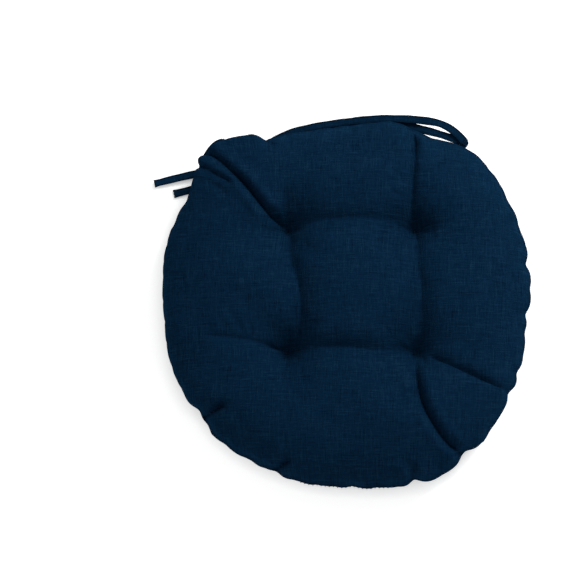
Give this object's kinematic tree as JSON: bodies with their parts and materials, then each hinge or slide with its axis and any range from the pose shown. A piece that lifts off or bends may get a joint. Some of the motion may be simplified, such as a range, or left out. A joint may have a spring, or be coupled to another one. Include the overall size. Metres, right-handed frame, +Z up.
{
  "type": "tie-on seat cushion",
  "caption": "Round knife-edge seat cushion with hidden thread tufts, a gathered seam and folded fabric ties at its back corners.",
  "frame": {"origin": "centre of the flat part of the underside, on the resting plane", "axes": "+Z up from the resting plane, +Y towards the chair's back, where the ties are, +X to the right as the cushion is seen from its front"},
  "size_m": [0.425, 0.4217, 0.0966],
  "materials": {
    "cover_fabric": "dark teal-navy slubbed plain weave of spun polyester, matt",
    "tie_tape": "the cover cloth folded into a narrow tape and edge-stitched",
    "sewing_thread": "dark blue spun polyester sewing thread",
    "fibre_fill": "white loose polyester fibre"
  },
  "bodies": {
    "base": {"bottom_panel": "cover_fabric", "fibre_fill": "fibre_fill", "tuft_thread_front_left": "sewing_thread", "tuft_thread_front_right": "sewing_thread", "tuft_thread_back_left": "sewing_thread", "tuft_thread_back_right": "sewing_thread", "perimeter_seam_thread": "sewing_thread", "closing_stitch": "sewing_thread", "left_tie_tab": "tie_tape", "right_tie_tab": "tie_tape", "left_tie_bartack": "sewing_thread", "right_tie_bartack": "sewing_thread"},
    "crown": {"top_panel": "cover_fabric"},
    "right_upper_lead": {"right_upper_lead": "tie_tape"},
    "right_upper_tail": {"right_upper_tail": "tie_tape"},
    "right_lower_lead": {"right_lower_lead": "tie_tape"},
    "right_lower_tail": {"right_lower_tail": "tie_tape"},
    "left_upper_lead": {"left_upper_lead": "tie_tape"},
    "left_upper_tail": {"left_upper_tail": "tie_tape"},
    "left_lower_lead": {"left_lower_lead": "tie_tape"},
    "left_lower_tail": {"left_lower_tail": "tie_tape"}
  },
  "joints": [
    {"name": "sit_compression", "type": "slide", "parent": "base", "child": "crown", "axis": [0, 0, -1], "range_m": [0, 0.03], "stiffness_N_per_m": 9000, "deforming": ["top_panel", "fibre_fill"]},
    {"name": "right_upper_swing", "type": "hinge", "parent": "base", "child": "right_upper_lead", "pos_m": [0.13196, 0.18162, 0.0435], "axis": [0, 0, 1], "range_deg": [-150, 0]},
    {"name": "right_upper_bend", "type": "hinge", "parent": "right_upper_lead", "child": "right_upper_tail", "pos_m": [-0.04431, 0.20718, 0.01458], "axis": [0, 0, 1], "range_deg": [-90, 0]},
    {"name": "right_lower_swing", "type": "hinge", "parent": "base", "child": "right_lower_lead", "pos_m": [0.13196, 0.18162, 0.0405], "axis": [0, 0, 1], "range_deg": [-150, 0]},
    {"name": "right_lower_bend", "type": "hinge", "parent": "right_lower_lead", "child": "right_lower_tail", "pos_m": [-0.03759, 0.20216, 0.01205], "axis": [0, 0, 1], "range_deg": [-90, 0]},
    {"name": "left_upper_swing", "type": "hinge", "parent": "base", "child": "left_upper_lead", "pos_m": [-0.13842, 0.18369, 0.0435], "axis": [0, 0, 1], "range_deg": [-150, 0]},
    {"name": "left_upper_bend", "type": "hinge", "parent": "left_upper_lead", "child": "left_upper_tail", "pos_m": [-0.18894, 0.02914, 0.00677], "axis": [0, 0, 1], "range_deg": [-90, 0]},
    {"name": "left_lower_swing", "type": "hinge", "parent": "base", "child": "left_lower_lead", "pos_m": [-0.13842, 0.18369, 0.0405], "axis": [0, 0, 1], "range_deg": [-150, 0]},
    {"name": "left_lower_bend", "type": "hinge", "parent": "left_lower_lead", "child": "left_lower_tail", "pos_m": [-0.18081, 0.02875, 0.00409], "axis": [0, 0, 1], "range_deg": [-90, 0]}
  ]
}
